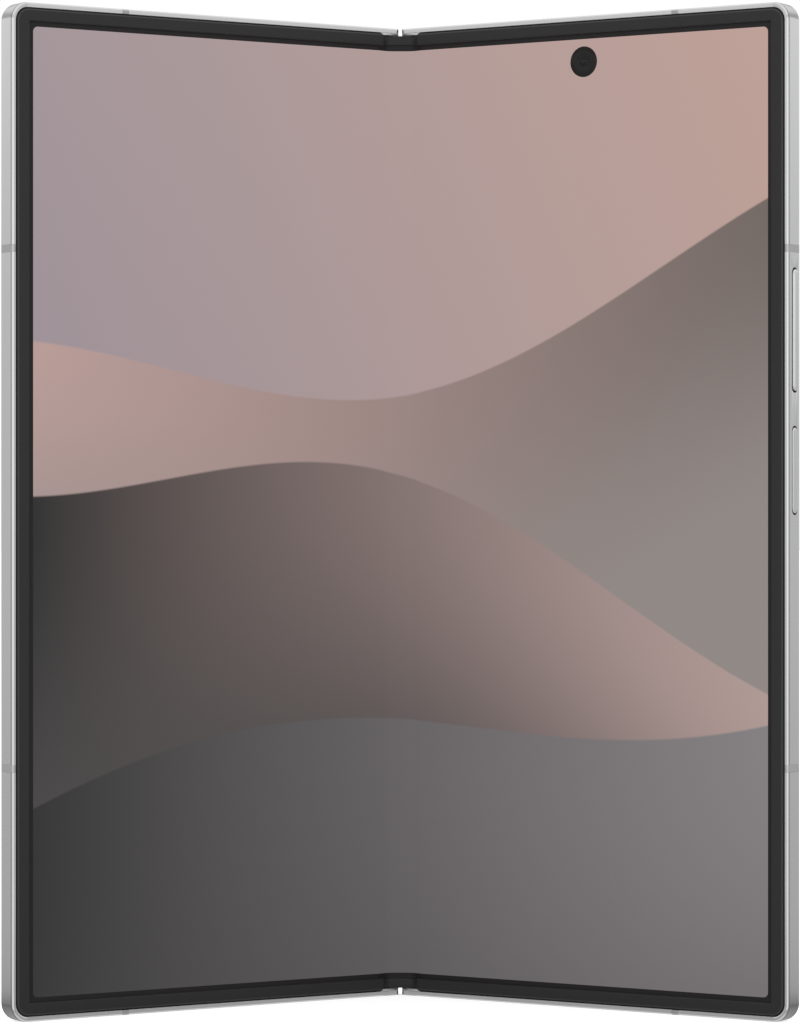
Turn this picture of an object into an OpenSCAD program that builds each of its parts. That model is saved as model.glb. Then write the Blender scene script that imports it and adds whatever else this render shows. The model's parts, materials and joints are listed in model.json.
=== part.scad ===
/* [Body] */
// Width of the phone when it lies fully open
open_w = 143.2; // [136:0.2:156]
// Height of the phone
body_h = 158.4; // [150:0.2:172]
// Thickness of each half
half_t = 4.2; // [4.15:0.05:4.8]
// Angle between the two halves as modelled
open_angle = 115; // [70:1:175]
// Radius of the outer corners
corner_r = 2.85; // [2.3:0.05:5]

/* [Frame] */
// Thickness of the rail along the edges
rail_t = 2; // [1.7:0.05:2.4]
// Thickness of the end rails where they pass the hinge
end_rail_t = 1.2; // [1:0.05:1.5]
// How far the rail's front lip lies behind the bezel's face
lip_drop = 0.1; // [0.04:0.02:0.2]
// Width and depth of the bright chamfer beside the lip
front_chamfer = [0.21, 0.2]; // [0.1:0.01:0.3]
// Width and depth of the shoulder between that chamfer and the side
shoulder = [0.06, 0.4]; // [0.04:0.01:0.5]
// Chamfer beside the rear glass
back_chamfer = 0.45; // [0.1:0.05:0.5]
// Thickness of the middle plate that carries everything
plate_t = 0.7; // [0.5:0.05:0.9]
// Gap between the two frames when the phone lies open
centre_gap = 0.6; // [0.3:0.05:1]
// Radius of the vertical edges that meet at the fold
fold_edge_r = 1; // [0.4:0.05:1.2]
// Radius of the rail ends at the fold, seen from the front
rail_end_r = 0.4; // [0.1:0.05:0.6]
// Width of an antenna band
band_w = 1.2; // [0.8:0.05:2]
// Heights of the two antenna bands on a side rail
band_z = [39.4, 120.1]; // [20:0.1:140]
// Distance of the end rails' antenna band from the side
band_in = 20; // [12:0.1:24]

/* [Hinge] */
// Distance of each fold axis from the centre line
axis_x = 1.325; // [1.3:0.005:1.4]
// Depth of the fold axes behind the front face
axis_y = 1.075; // [1.05:0.005:1.1]
// Running gap between the spine and the frames
run_gap = 0.1; // [0.06:0.01:0.15]
// Thickness of the frame wall that covers the spine
back_wall_t = 0.5; // [0.4:0.05:0.6]
// Thickness of the spine cover
spine_wall = 0.4; // [0.3:0.05:0.45]
// Thickness of the frame wall beside the spine
hinge_wall_t = 0.8; // [0.6:0.05:1]
// Height of an arm module
module_h = 22; // [21:0.5:26]
// Distance of each arm module from the centre of the spine
module_z = 46; // [38:0.5:50]
// Pitch radius of the timing gears
gear_r = 0.7; // [0.68:0.01:0.72]

/* [Display] */
// Thickness of the raised bezel
bezel_t = 0.35; // [0.25:0.05:0.4]
// Width of the bezel on the side and on the ends
bezel_w = [2.13, 1.99]; // [1.6:0.02:2.6]
// Width of frame lip left outside the bezel, side and ends
lip_w = [0.62, 0.81]; // [0.5:0.01:0.9]
// Thickness of the display stack
panel_t = 0.5; // [0.4:0.05:0.5]
// Distance of the bezel ends from the centre line
bezel_end = 3.7; // [2.8:0.1:4.2]
// Diameter of the camera hole in the display
lens_hole_d = 4.9; // [3.5:0.1:6]
// Position of that hole: from the fold, and down from the top
lens_hole_at = [34.92, 7.36]; // [6:0.01:60]

/* [Back] */
// Thickness of the rear and cover glass
glass_t = 0.5; // [0.4:0.05:0.5]
// Thickness of the cover display
cover_panel_t = 0.4; // [0.3:0.05:0.5]
// Size of the camera island
island = [20, 56]; // [18:0.5:24]
// Height of the camera island above the glass
island_t = 1.4; // [0.8:0.1:2.5]
// Outer diameter of a lens ring
lens_ring_d = 13.4; // [12:0.1:15]

/* [Controls] */
// Length and centre height of the power key
power_key = [13.7, 85.65]; // [10:0.05:90]
// Length and centre height of the volume key
volume_key = [19.3, 107.45]; // [16:0.05:115]
// Width of the keys
key_w = 1.66; // [1.5:0.02:2.3]
// How far the keys stand out of the rail
key_proud = [0.12, 0.38]; // [0.05:0.01:0.6]
// Free space around a key
key_gap = 0.09; // [0.07:0.01:0.15]
// Length, width and thickness of the card tray's front
tray_front = [14.4, 2, 1]; // [1:0.1:18]
// Opening of the charging port
port = [8.34, 2.56]; // [2.4:0.02:9]

/* [Hidden] */

smooth = 64;
far = 400;
fit = 0.03;

half_w = open_w / 2;
band_s = half_w - band_in;
tilt = (180 - open_angle) / 2;
mid_z = body_h / 2;

// Depths through one half, from the front face
panel_v = bezel_t;
panel_back = panel_v + panel_t;
plate_back = panel_back + plate_t;
glass_v = half_t - glass_t;

// The spine: a flat back between two arcs around the fold axes
end_s = centre_gap / 2;
spine_r = half_t - back_wall_t - run_gap - axis_y;
spine_back = axis_y + spine_r;
spine_end = end_rail_t + run_gap;
cavity_s = axis_x + spine_r + run_gap;
wall_s = cavity_s + hinge_wall_t;
panel_lap = 0.2;
fold_relief = 0.3;
cap_t = 0.2;
fold_s = wall_s - panel_lap;
inner_r = spine_r - spine_wall;
inner_back = spine_back - spine_wall;
base_front = axis_y + 0.125;

// The cavity of a half
inner_s = half_w - rail_t;
inner_z = rail_t;
speaker_s = [inner_s - 15.6, inner_s - 0.3];
speaker_top = 15.5;
// Places of the holes in the bottom rail for sound
sound_s = [for (i = [1:5]) speaker_s[0] + 2.4 * i];
stack_t = glass_v - plate_back;

// The bezel and the display below it
bezel_s = half_w - lip_w[0];
bezel_z = lip_w[1];
bezel_r = corner_r - lip_w[0];
glue_lap = 0.45;
panel_s = bezel_s - glue_lap;
panel_z = bezel_z + glue_lap;
fold_z = spine_end;

// The glass on the back
glass_lip = 0.68;
glass_s = wall_s + 0.2;
shelf_w = 0.9;
shelf_t = 0.4;

// Hinge arms
crescent_r = [1.4, 2.02];
crescent_from = 28;
crescent_to = 150;
core_r = crescent_r[0] - 0.05;
arm_v = 1.75;
arm_t = 0.5;
arm_end = wall_s + 7.5;
arm_back = arm_v + arm_t;
slice_gap = 0.1;
arm_slice = [2.6, 6.8];
solid_slice = (module_h - 2 * arm_slice[1] - 4 * slice_gap) / 3;
screw_r = 0.5;
screw_head_r = 0.95;
arm_screw_z = [3.5, module_h - 3.5];
arm_screw_s = arm_end - 1.9;

// Timing gears and swing arms
gear_teeth = 10;
gear_add = 0.13;
gear_ded = 0.17;
gear_angle = 25;
gear_slack = 0.035;
gear_y = axis_y + sqrt(pow(inner_r - gear_r - gear_add - 0.05, 2) - pow(3 * gear_r - axis_x, 2));
gear_w = 2.4;
shaft_r = 0.3;
bearing_r = shaft_r + fit;
bearing_w = 1.1;
hub_r = 0.55;
swing_w = 1.6;
spring_w = 2.4;
spring_n = 5;
pin_r = 0.35;
pin_at = [wall_s + 2.25, gear_y + 0.3];
swing_v = [1.9, 2.3];
pin_l = 2;
slot_gap = 0.06;
slot_plate_w = 2.2;
slot_s = [wall_s + 0.15, wall_s + 3.75];
gear_z = mid_z;
bearing_a = gear_w / 2 + slice_gap;
swing_a = bearing_a + bearing_w + slice_gap;
bearing_b = swing_a + swing_w + slice_gap;
spring_a = bearing_a + bearing_w + slice_gap;
bearing_c = spring_a + spring_w + slice_gap;

// Inner camera, lenses and keys
lens_hole_z = body_h - lens_hole_at[1];
island_s = half_w - 14;
island_z = body_h - 35;
lens_pitch = 17;
lens_r = lens_ring_d / 2 - 1.2;
island_back = half_t + island_t;
ring_proud = 0.5;
key_v = half_t / 2 + 0.2;
key_flange_t = 0.35;
key_flange = 0.35;
key_travel = 0.25;
rock_angle = 1.2;
tray_s = 34;
tray_v = 2.35;
port_s = 36;
port_wall = 0.12;
port_depth = 7.3;
port_v = (panel_back + glass_v) / 2;

// Moves the whole model so that the middle of its footprint is the origin
front_s = half_w - shoulder[0] - front_chamfer[0];
front_y = axis_y - (front_s - axis_x) * sin(tilt) - (axis_y - lip_drop) * cos(tilt);
back_y = axis_y - (end_s - axis_x) * sin(tilt) + (half_t - axis_y) * cos(tilt);
shift_y = -(front_y + back_y) / 2;

// ---------------------------------------------------------------- placing

module spine_place() translate([0, shift_y, 0]) children();

// A half is drawn lying open: x from the fold, y from the front face, z up
module right_place() {
    spine_place() translate([axis_x, axis_y, 0]) rotate([0, 0, -tilt])
        translate([-axis_x, -axis_y, 0]) children();
}

module left_place() {
    spine_place() mirror([1, 0, 0]) translate([axis_x, axis_y, 0]) rotate([0, 0, -tilt])
        translate([-axis_x, -axis_y, 0]) children();
}

// Turns a shape drawn lying open about the centre of a timing gear
module swing_place(side, angle) {
    spine_place() translate([side * gear_r * 3, gear_y, 0]) rotate([0, 0, angle]) children();
}

// Extrudes a shape drawn in (s, z) through the depth, from v
module layer(v, t) translate([0, v + t, 0]) rotate([90, 0, 0]) linear_extrude(t) children();

// Extrudes a shape drawn in (v, z) away from the fold, from s
module across(s, t) translate([s, 0, 0]) rotate([90, 0, 90]) linear_extrude(t) children();

// Extrudes a shape drawn in (s, v) upwards, from z
module column(z, t) translate([0, 0, z]) linear_extrude(t) children();

// ---------------------------------------------------------------- shapes

module box(s, v, z) {
    translate([s[0], v[0], z[0]]) cube([s[1] - s[0], v[1] - v[0], z[1] - z[0]]);
}

module span(a, b) translate([a[0], b[0]]) square([a[1] - a[0], b[1] - b[0]]);

// A rectangle with its two outer corners rounded
module leaf(s, z, r) {
    span([s[0], s[1] - r], z);
    span([s[1] - r - 1, s[1]], [z[0] + r, z[1] - r]);
    for (c = [z[0] + r, z[1] - r]) translate([s[1] - r, c]) circle(r, $fn = smooth);
}

// A rectangle with four rounded corners
module pad(s, z, r) {
    if (s[1] - s[0] > 2.001 * r) span([s[0] + r, s[1] - r], z);
    if (z[1] - z[0] > 2.001 * r) span(s, [z[0] + r, z[1] - r]);
    for (x = [s[0] + r, s[1] - r], y = [z[0] + r, z[1] - r]) translate([x, y]) circle(r, $fn = smooth);
}

module disc(s, z, r) translate([s, z]) circle(r, $fn = smooth);

// Sweeps a profile drawn in (inward, depth) along the three outer edges
module rim() {
    translate([half_w, 0, corner_r]) linear_extrude(body_h - 2 * corner_r) mirror([1, 0]) children();
    for (top = [0, 1]) translate([0, 0, top * body_h]) mirror([0, 0, 1 - top]) {
        translate([end_s, 0, 0]) rotate([0, 90, 0]) linear_extrude(half_w - corner_r - end_s) children();
        translate([half_w - corner_r, 0, -corner_r]) mirror([0, 0, 1]) rotate([-90, 0, 0])
            rotate_extrude(angle = 90, $fn = smooth) translate([corner_r, 0]) mirror([1, 0]) children();
    }
}

// Outline of the spine in (x, y), grown by a clearance
module spine_outline(r) {
    intersection() {
        union() {
            for (side = [-1, 1]) translate([side * axis_x, axis_y]) circle(r, $fn = smooth);
            span([-axis_x, axis_x], [axis_y, axis_y + r]);
        }
        span([-far, far], [axis_y, far]);
    }
}

// Share of a half's tilt that the display takes at a distance from the fold
function share(s) = let(t = min(1, max(0, s / fold_s))) t * t * (3 - 2 * t);

// Where a point of the flat display goes when the phone is part folded
function folded(s, v) =
    let(side = s < 0 ? -1 : 1, angle = tilt * share(abs(s)), u = abs(s) - axis_x, w = v - axis_y)
    [side * (axis_x + u * cos(angle) + w * sin(angle)), axis_y - u * sin(angle) + w * cos(angle)];

// A strip across the fold that bends with the display
module bent(reach, v0, v1, steps) {
    places = [for (i = [-steps:steps]) reach * i / steps];
    polygon(concat([for (s = places) folded(s, v0)],
                   [for (i = [2 * steps:-1:0]) folded(places[i], v1)]));
}

// ---------------------------------------------------------------- both halves

module rail_profile() {
    edge = lip_drop + front_chamfer[1];
    polygon([[0, edge + shoulder[1]], [shoulder[0], edge], [shoulder[0] + front_chamfer[0], lip_drop],
             [rail_t, lip_drop], [rail_t, half_t], [back_chamfer, half_t],
             [back_chamfer / 4, half_t - back_chamfer / 3], [0, half_t - back_chamfer]]);
}

// Everything that is cut from the rails and the middle plate of both halves
module frame_cuts() {
    layer(-1, 1 + panel_v) leaf([-1, bezel_s + fit], [bezel_z - fit, body_h - bezel_z + fit], bezel_r);
    layer(-1, 1 + panel_back)
        leaf([-1, panel_s + fit], [panel_z - fit, body_h - panel_z + fit], bezel_r - glue_lap);
    layer(glass_v, far) leaf([glass_s - fit, half_w - glass_lip + fit],
        [glass_lip - fit, body_h - glass_lip + fit], corner_r - glass_lip);
    column(end_rail_t, body_h - 2 * end_rail_t) {
        intersection() {
            spine_outline(spine_r + run_gap);
            span([-far, cavity_s], [0, half_t - back_wall_t]);
        }
        span([-1, fold_s], [-1, panel_back + fold_relief]);
    }
    column(-1, body_h + 2) difference() {
        span([end_s - 1, end_s + fold_edge_r], [-1, fold_edge_r + 0.075]);
        translate([end_s + fold_edge_r, fold_edge_r + 0.075]) circle(fold_edge_r, $fn = smooth);
    }
    for (top = [0, 1]) translate([0, 0, top * body_h]) mirror([0, 0, top]) layer(-1, far) difference() {
        span([end_s - 1, end_s + rail_end_r], [-1, rail_end_r]);
        translate([end_s + rail_end_r, rail_end_r]) circle(rail_end_r, $fn = smooth);
    }
}

module band_slabs() {
    for (z = band_z) box([half_w - rail_t - 1, far], [-1, far], [z - band_w / 2, z + band_w / 2]);
    for (z = [[-1, rail_t], [body_h - rail_t, body_h + 1]])
        box([band_s - band_w / 2, band_s + band_w / 2], [-1, far], z);
}

module bare_rails() {
    difference() {
        rim() rail_profile();
        frame_cuts();
    }
}

module antenna_bands() {
    intersection() {
        bare_rails();
        band_slabs();
    }
}

// Openings in the frame wall for the parts of the hinge
module wall_openings(module_side) {
    for (z = module_places) {
        at = z + arm_start(module_side) - slice_gap;
        box([cavity_s - 1, wall_s + 1], [arm_v - slice_gap, arm_back + slice_gap],
            [at, at + arm_slice[1] + 2 * slice_gap]);
    }
    box([cavity_s - 1, slot_s[1] + 1], [panel_back + 0.25, glass_v - shelf_t - 0.05],
        [gear_z + swing_a - slice_gap, gear_z + swing_a + swing_w + slot_plate_w + 3 * slice_gap]);
    for (z = flex_places) box([cavity_s - 1, wall_s + 1], [flex_v - 0.1, flex_v + flex_t + 0.1],
                              [z - flex_w / 2 - 0.2, z + flex_w / 2 + 0.2]);
}

module half_frame(module_side) {
    difference() {
        union() {
            difference() {
                rim() rail_profile();
                band_slabs();
            }
            layer(panel_back, plate_t) span([cavity_s, inner_s], [inner_z, body_h - inner_z]);
            box([cavity_s, wall_s], [panel_back, half_t], [inner_z, body_h - inner_z]);
            box([end_s, wall_s], [glass_v, half_t], [inner_z, body_h - inner_z]);
            box([wall_s, wall_s + shelf_w], [glass_v - shelf_t, half_t], [inner_z, body_h - inner_z]);
            for (z = module_places, dz = arm_screw_z)
                translate([arm_screw_s, plate_back, z + dz]) rotate([-90, 0, 0])
                    cylinder(arm_v - plate_back, 1.2, 1.2, $fn = smooth);
        }
        frame_cuts();
        wall_openings(module_side);
        for (z = module_places, dz = arm_screw_z)
            translate([arm_screw_s, panel_back + 0.2, z + dz]) rotate([-90, 0, 0])
                cylinder(far, screw_r, screw_r, $fn = smooth);
    }
}

module bezel() {
    layer(0, bezel_t) difference() {
        leaf([bezel_end, bezel_s], [bezel_z, body_h - bezel_z], bezel_r);
        span([-1, bezel_s - bezel_w[0]], [bezel_z + bezel_w[1], body_h - bezel_z - bezel_w[1]]);
    }
}

module display_panel() {
    layer(panel_v, panel_t) leaf([fold_s, panel_s], [panel_z, body_h - panel_z], bezel_r - glue_lap);
}

module back_glass() {
    leaf([glass_s, half_w - glass_lip], [glass_lip, body_h - glass_lip], corner_r - glass_lip);
}

// ---------------------------------------------------------------- hinge

module_places = [mid_z - module_z - module_h / 2, mid_z + module_z - module_h / 2];

// Height in a module where the right (1) or left (-1) crescent starts
function arm_start(side) =
    side > 0 ? solid_slice + slice_gap : 2 * solid_slice + 3 * slice_gap + arm_slice[1];

flex_w = 11;
flex_t = 0.14;
flex_v = plate_back + 0.1;
flex_reach = wall_s + 3.2;
flex_places = [mid_z - 24, mid_z + 24];

module spine_cover() {
    color("#8f9296") spine_place() difference() {
        column(spine_end, body_h - 2 * spine_end) spine_outline(spine_r);
        column(spine_end + 1, body_h - 2 * spine_end - 2) spine_outline(inner_r);
        for (z = module_places, side = [-1, 1])
            box(side > 0 ? [axis_x + 1, far] : [-far, -axis_x - 1], [-1, arm_back + slice_gap],
                [z + arm_start(side) - slice_gap, z + arm_start(side) + arm_slice[1] + slice_gap]);
        for (side = [-1, 1])
            box(side > 0 ? [axis_x + 1, far] : [-far, -axis_x - 1], [-1, swing_v[1] + slice_gap],
                [gear_z + swing_a - slice_gap, gear_z + swing_a + swing_w + slice_gap]);
        for (z = flex_places, side = [-1, 1])
            box(side > 0 ? [axis_x + 1, far] : [-far, -axis_x - 1], [-1, flex_v + flex_t + 0.3],
                [z - flex_w / 2 - 0.2, z + flex_w / 2 + 0.2]);
        base_screw_holes(inner_back - 1, spine_back - 0.1);
    }
}

base_screw_z = [solid_slice / 2, module_h - solid_slice / 2];

module base_screw_holes(y0, y1) {
    for (z = module_places, dz = base_screw_z)
        translate([0, y0, z + dz]) rotate([-90, 0, 0]) cylinder(y1 - y0, 0.4, 0.4, $fn = smooth);
}

module base_screw_heads() {
    for (z = module_places, dz = base_screw_z)
        translate([0, base_front, z + dz]) rotate([-90, 0, 0]) cylinder(0.5, 0.8, 0.8, $fn = smooth);
}

// The bracket fixed in the spine, cut away round a core where each crescent slides
module hinge_base(z) {
    spine_place() difference() {
        column(z, module_h) base_section();
        for (side = [0, 1]) mirror([side, 0, 0])
            column(z + arm_start(1 - 2 * side) - slice_gap, arm_slice[1] + 2 * slice_gap) difference() {
                span([axis_x - crescent_r[1] - slice_gap, far], [0, far]);
                translate([axis_x, axis_y]) circle(core_r, $fn = smooth);
            }
        base_screw_holes(0, far);
        base_screw_heads();
    }
}

module base_section() {
    intersection() {
        spine_outline(inner_r);
        span([-far, far], [base_front, far]);
    }
}

module hinge_base_lower() color("#6f7276") hinge_base(module_places[0]);
module hinge_base_upper() color("#6f7276") hinge_base(module_places[1]);

module hinge_base_screws() {
    color("#b9bcc0") spine_place() {
        base_screw_holes(base_front + 0.4, spine_back - 0.1);
        base_screw_heads();
    }
}

// Arms that slide round the fold axis in the spine, drawn lying open
module hinge_arms(side) {
    for (z = module_places) difference() {
        union() {
            column(z + arm_start(side), arm_slice[1]) {
                intersection() {
                    translate([axis_x, axis_y]) difference() {
                        circle(crescent_r[1], $fn = smooth);
                        circle(crescent_r[0], $fn = smooth);
                    }
                    translate([axis_x, axis_y]) polygon(concat([[0, 0]],
                        [for (i = [0:8]) let(p = crescent_from + (crescent_to - crescent_from) * i / 8)
                            3 * crescent_r[1] * [cos(p), sin(p)]]));
                }
                span([axis_x + crescent_r[0] * cos(crescent_from), wall_s + 1], [arm_v, arm_back]);
            }
            layer(arm_v, arm_t) pad([wall_s + 0.2, arm_end], [z + 0.5, z + module_h - 0.5], 0.6);
        }
        arm_screws_shape(z, screw_r + fit);
    }
}

module arm_screws_shape(z, r) {
    for (dz = arm_screw_z) translate([arm_screw_s, panel_back + 0.3, z + dz]) rotate([-90, 0, 0])
        cylinder(arm_back - panel_back - 0.3, r, r, $fn = smooth);
}

module arm_screws() {
    for (z = module_places) {
        arm_screws_shape(z, screw_r);
        for (dz = arm_screw_z) translate([arm_screw_s, arm_back, z + dz]) rotate([-90, 0, 0])
            cylinder(0.4, screw_head_r, screw_head_r, $fn = smooth);
    }
}

function inv(a) = tan(a) * 180 / PI - a;

// A timing gear with straight involute teeth and a tooth pointing along the angle given
module gear(angle) {
    root = gear_r * cos(gear_angle);
    half = (180 / gear_teeth) / 2 - gear_slack / 2 / gear_r * 180 / PI + inv(gear_angle);
    radii = [for (i = [0:3]) root + (gear_r + gear_add - root) * i / 3];
    side = [for (r = radii) half - inv(acos(min(1, root / r)))];
    low = gear_r - gear_ded;
    rotate(angle) polygon([for (k = [0:gear_teeth - 1]) let(c = 360 * k / gear_teeth) each concat(
        [low * [cos(c - side[0]), sin(c - side[0])]],
        [for (i = [0:3]) radii[i] * [cos(c - side[i]), sin(c - side[i])]],
        [for (i = [3:-1:0]) radii[i] * [cos(c + side[i]), sin(c + side[i])]],
        [low * [cos(c + side[0]), sin(c + side[0])]])]);
}

half_tooth = 180 / gear_teeth;

module idler(side, angle) {
    color("#c9a24c") spine_place() translate([side * gear_r, gear_y, 0]) {
        column(gear_z - gear_w / 2, gear_w) gear(angle);
        translate([0, 0, gear_z - bearing_a - bearing_w])
            cylinder(2 * (bearing_a + bearing_w), shaft_r, shaft_r, $fn = smooth);
    }
}

module right_idler_gear() idler(1, half_tooth + tilt);
module left_idler_gear() idler(-1, -tilt);

// The swing arm, drawn lying open around its own shaft, for the right side
module swing_shape() {
    pin = pin_at - [3 * gear_r, gear_y];
    column(gear_z + swing_a, swing_w) {
        circle(hub_r, $fn = smooth);
        span([0, pin[0]], [swing_v[0] - gear_y, swing_v[1] - gear_y]);
        translate(pin) circle(pin_r + 0.3, $fn = smooth);
        span([pin[0] - pin_r - 0.3, pin[0] + pin_r + 0.3], [swing_v[0] - gear_y, pin[1]]);
    }
    translate([pin[0], pin[1], gear_z + swing_a + swing_w]) cylinder(pin_l, pin_r, pin_r, $fn = smooth);
    translate([0, 0, gear_z - bearing_c - bearing_w])
        cylinder(bearing_c + bearing_b + 2 * bearing_w, shaft_r, shaft_r, $fn = smooth);
}

module right_timing_arm() {
    color("#a9acb0") swing_place(1, -tilt) {
        swing_shape();
        column(gear_z - gear_w / 2, gear_w) gear(0);
    }
}

module left_timing_arm() {
    color("#a9acb0") swing_place(-1, tilt) {
        mirror([1, 0, 0]) swing_shape();
        column(gear_z - gear_w / 2, gear_w) gear(half_tooth);
    }
}

// Carries the gears: bearing plates joined by a bar behind the teeth
module timing_base() {
    color("#6f7276") spine_place() difference() {
        union() {
            for (z = [-bearing_a - bearing_w, bearing_a, bearing_b, -bearing_c - bearing_w])
                column(gear_z + z, bearing_w) base_section();
            column(gear_z - bearing_c - bearing_w, bearing_c + bearing_b + 2 * bearing_w)
                span([-0.9, 0.9], [gear_y + gear_r + gear_add + 0.06, inner_back]);
        }
        for (x = [-3, 3]) translate([x * gear_r, gear_y, gear_z - 20])
            cylinder(40, bearing_r, bearing_r, $fn = smooth);
        for (x = [-1, 1]) translate([x * gear_r, gear_y, gear_z - bearing_a - bearing_w - 0.05])
            cylinder(2 * (bearing_a + bearing_w) + 0.1, bearing_r, bearing_r, $fn = smooth);
    }
}

module disc_springs() {
    pitch = spring_w / spring_n;
    color("#b9bcc0") spine_place() for (side = [-1, 1], i = [0:spring_n - 1])
        translate([side * 3 * gear_r, gear_y, gear_z - spring_a - spring_w + i * pitch]) difference() {
            cylinder(pitch - 0.06, gear_r + 0.05, gear_r + 0.05, $fn = smooth);
            translate([0, 0, -1]) cylinder(3, bearing_r, bearing_r, $fn = smooth);
        }
}

// The plate whose curved slot leads the pin of the swing arm, drawn lying open
module slot_plate() {
    arc = [3 * gear_r - axis_x, gear_y - axis_y];
    reach = norm(arc);
    start = atan2(arc[1], arc[0]);
    centre = pin_at - arc;
    r = pin_r + slot_gap;
    column(gear_z + swing_a + swing_w + 2 * slice_gap, slot_plate_w) difference() {
        span([slot_s[0], slot_s[1]], [plate_back, glass_v - shelf_t - 0.1]);
        translate(centre) intersection() {
            difference() {
                circle(reach + r, $fn = smooth);
                circle(reach - r, $fn = smooth);
            }
            polygon([[0, 0], 9 * [cos(start), sin(start)], 9 * [cos(start + 45), sin(start + 45)],
                     9 * [cos(start + 90), sin(start + 90)]]);
        }
        for (angle = [start, start + 90]) translate(centre + reach * [cos(angle), sin(angle)])
            circle(r, $fn = smooth);
    }
}

module display_fold() {
    color("#1d1d20") spine_place() column(fold_z, body_h - 2 * fold_z)
        bent(fold_s, panel_v, panel_back, 12);
}

module hinge_cap(z) {
    color("#2b2b2d") spine_place() column(z, bezel_w[1] + bezel_z - fold_z)
        bent(bezel_end - 0.1, panel_v - cap_t - fit, panel_v - fit, 12);
}

module hinge_cap_lower() hinge_cap(fold_z);
module hinge_cap_upper() hinge_cap(body_h - bezel_z - bezel_w[1]);

module hinge_flex_cables() {
    color("#b5762c") spine_place() for (z = flex_places) column(z - flex_w / 2, flex_w)
        bent(flex_reach, flex_v, flex_v + flex_t, 12);
}

// ---------------------------------------------------------------- right half

module camera_holes(r, v0, v1) {
    for (i = [-1:1]) translate([island_s, v0, island_z + i * lens_pitch]) rotate([-90, 0, 0])
        cylinder(v1 - v0, r, r, $fn = smooth);
}

flash_at = [island_s, island_z + 1.5 * lens_pitch];

module key_outline(key, grow) {
    pad([key_v - key_w / 2 - grow, key_v + key_w / 2 + grow],
        [key[1] - key[0] / 2 - grow, key[1] + key[0] / 2 + grow], key_w / 2 + grow);
}

module right_frame() {
    color("#9fa1a4") right_place() difference() {
        half_frame(1);
        for (key = [power_key, volume_key]) across(inner_s - 1, far) key_outline(key, key_gap);
        translate([0, 0, -1]) column(0, port_depth + 2.4) port_outline(port_wall + fit);
        for (s = sound_s) column(-1, rail_t + 2) disc(s, port_v, 0.55);
        column(-1, rail_t + 2) disc(port_s - 12, port_v, 0.35);
        layer(-1, far) disc(lens_hole_at[0], lens_hole_z, lens_hole_d / 2 - 0.4);
    }
}

module port_outline(grow) {
    pad([port_s - port[0] / 2 - grow, port_s + port[0] / 2 + grow],
        [port_v - port[1] / 2 - grow, port_v + port[1] / 2 + grow], port[1] / 2 + grow);
}

module right_antenna_bands() color("#8d8f92") right_place() antenna_bands();
module right_bezel() color("#1c1c1e") right_place() bezel();

module right_display() {
    color("#8a7f80") right_place() difference() {
        display_panel();
        layer(-1, far) disc(lens_hole_at[0], lens_hole_z, lens_hole_d / 2);
    }
}

module rear_glass() {
    color("#5f6166") right_place() difference() {
        layer(glass_v, glass_t) back_glass();
        camera_holes(lens_r - 0.4, 0, far);
        layer(-1, far) disc(flash_at[0], flash_at[1], 1.5);
    }
}

module camera_island() {
    color("#77797d") right_place() difference() {
        layer(half_t, island_t) pad([island_s - island[0] / 2, island_s + island[0] / 2],
            [island_z - island[1] / 2, island_z + island[1] / 2], island[0] / 2);
        camera_holes(lens_r + fit, 0, far);
        layer(-1, far) disc(flash_at[0], flash_at[1], 1.5);
    }
}

module lens_rings() {
    color("#c6c8cb") right_place() difference() {
        camera_holes(lens_ring_d / 2, island_back, island_back + ring_proud);
        camera_holes(lens_r + fit, 0, far);
    }
}

module lens_glasses() color("#101114") right_place() camera_holes(lens_r, island_back - 0.5, island_back + 0.3);

module flash_lamp() {
    color("#e8e4d0") right_place() layer(glass_v - 0.4, island_back - glass_v + 0.4)
        disc(flash_at[0], flash_at[1], 1.5 - fit);
}

module rear_cameras() {
    color("#2a2c30") right_place() {
        for (z = [-1:1]) box([island_s - camera_half, island_s + camera_half], [plate_back, glass_v],
            [island_z + z * lens_pitch - camera_half, island_z + z * lens_pitch + camera_half]);
        camera_holes(lens_r - 0.5, glass_v, island_back - 0.5);
    }
}

module front_camera() {
    color("#15161a") right_place() translate([lens_hole_at[0], 0, lens_hole_z]) rotate([-90, 0, 0]) {
        translate([0, 0, panel_v]) cylinder(panel_t + plate_t, lens_hole_d / 2 - 0.45, 1.9, $fn = smooth);
        translate([-3, -3, plate_back]) cube([6, 6, 1.6]);
    }
}

// Boards and batteries lie round the cameras, the port and the speakers
camera_half = 6.4;
camera_low = island_z - lens_pitch - camera_half;
board_t = 0.8;
board_s = arm_end + 0.6;
board_edge = inner_s - 2;
board_top = body_h - inner_z - 0.4;
board_low = [inner_z + 1, 24];
battery_gap = 2;
shield_in = 4;
left_board_z = body_h - 50.4;
cover_camera_s = (wall_s + inner_s) / 2;
cover_camera_z = body_h - 8;
earpiece_s = [16, 29];
earpiece_z = body_h - 8.5;

module main_board() {
    color("#1f5136") right_place() difference() {
        union() {
            box([board_s, island_s - camera_half - 0.6], [plate_back, plate_back + board_t], [camera_low, board_top]);
            box([board_s, board_edge], [plate_back, plate_back + board_t], board_low);
        }
        box([lens_hole_at[0] - 3.4, lens_hole_at[0] + 3.4], [0, far], [lens_hole_z - 3.4, far]);
        box([port_s - port[0] / 2 - 1, port_s + port[0] / 2 + 1], [0, far], [0, port_depth + 1.4]);
        box([speaker_s[0] - 0.5, far], [0, far], [0, speaker_top + 0.5]);
    }
}

module board_shields() {
    low = camera_low + shield_in;
    depth = [plate_back + board_t, glass_v - 0.25];
    color("#b9bcc0") right_place() {
        box([board_s + 2, lens_hole_at[0] - 5], depth, [low, lens_hole_z - 9]);
        box([lens_hole_at[0] + 5, island_s - camera_half - 3.7], depth, [low, low + 20]);
        box([board_s + 2, board_s + 15], depth, [board_low[0] + 3, board_low[1] - shield_in]);
    }
}

battery_z = [board_low[1] + battery_gap + 1, camera_low - battery_gap];

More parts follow.
